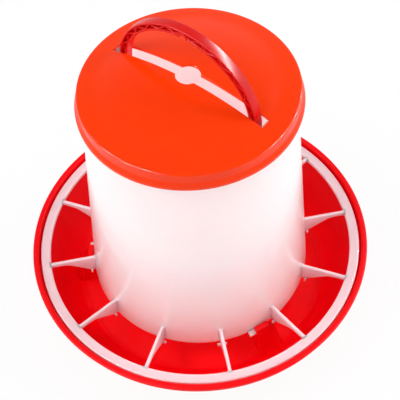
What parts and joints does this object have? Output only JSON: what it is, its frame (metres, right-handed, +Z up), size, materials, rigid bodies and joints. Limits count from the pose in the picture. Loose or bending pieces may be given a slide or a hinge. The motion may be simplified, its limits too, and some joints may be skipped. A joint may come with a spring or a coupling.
{
  "type": "poultry feeder",
  "caption": "Round tray feeder for hens: a red trough with a translucent tapered hopper locked into it, a finned waste guard, a slotted lid and an arched carrying handle.",
  "frame": {"origin": "Centre of the foot ring's underside, on the ground under the middle of the tray.", "axes": "+Z points up along the hopper's centre line. X runs along the lid's slot and the handle's arch, and the handle's studs lie on X. The object stands upright at rest."},
  "size_m": [0.269, 0.269, 0.2726],
  "materials": {
    "tray": "moulded gloss, bright red",
    "hopper": "moulded gloss, milky and slightly see-through",
    "lid": "moulded satin gloss, orange red",
    "handle": "moulded gloss, deep red"
  },
  "bodies": {
    "tray": {"feed_tray": "tray"},
    "hopper": {"hopper": "hopper", "guard_ring_1": "hopper", "guard_ring_2": "hopper", "guard_ring_3": "hopper", "guard_ring_4": "hopper", "fin_01": "hopper", "fin_02": "hopper", "fin_03": "hopper", "fin_04": "hopper", "fin_05": "hopper", "fin_06": "hopper", "fin_07": "hopper", "fin_08": "hopper", "fin_09": "hopper", "fin_10": "hopper", "fin_11": "hopper", "fin_12": "hopper"},
    "lid": {"lid": "lid"},
    "handle": {"handle": "handle"}
  },
  "joints": [
    {"name": "hopper_turn", "type": "hinge", "parent": "tray", "child": "hopper", "pos_m": [0, 0, 0.0242], "axis": [0, 0, 1], "range_deg": [-2.2, 0]},
    {"name": "lid_lift", "type": "slide", "parent": "hopper", "child": "lid", "axis": [0, 0, 1], "range_m": [0, 0.07]},
    {"name": "handle_pivot", "type": "hinge", "parent": "hopper", "child": "handle", "pos_m": [0, 0, 0.2066], "axis": [1, 0, 0], "range_deg": [-1.7, 1.7]}
  ]
}
